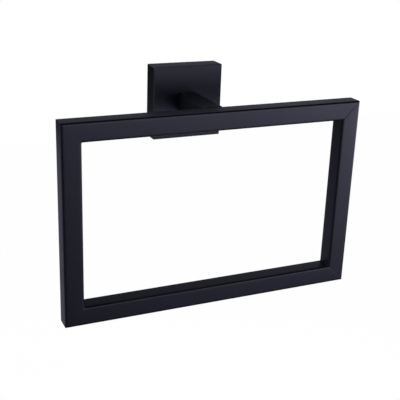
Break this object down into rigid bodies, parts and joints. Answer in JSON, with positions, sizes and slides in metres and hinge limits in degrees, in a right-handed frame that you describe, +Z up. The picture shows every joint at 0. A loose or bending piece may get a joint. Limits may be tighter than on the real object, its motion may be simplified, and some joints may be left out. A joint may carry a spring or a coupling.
{
  "type": "towel ring",
  "caption": "Wall-mounted towel ring: an upright rectangular frame of mitred square tube, held off the wall by a square post on a square cover.",
  "frame": {"origin": "centre of the wall cover's back, in the plane of the wall", "axes": "+Y into the wall, +Z up, +X to the right as seen from the room; the ring hangs below and in front, on the -Y side"},
  "size_m": [0.2, 0.065, 0.147],
  "materials": {
    "black_coat": "satin matt black powder coat",
    "zinc_steel": "zinc-plated steel sheet",
    "screw_steel": "plain steel screw"
  },
  "bodies": {
    "root": {"ring_top_tube": "black_coat", "ring_bottom_tube": "black_coat", "ring_left_tube": "black_coat", "ring_right_tube": "black_coat", "post": "black_coat", "wall_cover": "black_coat", "wall_bracket": "zinc_steel", "post_washer": "zinc_steel", "cover_set_screw": "screw_steel", "post_screw": "screw_steel"}
  },
  "joints": []
}
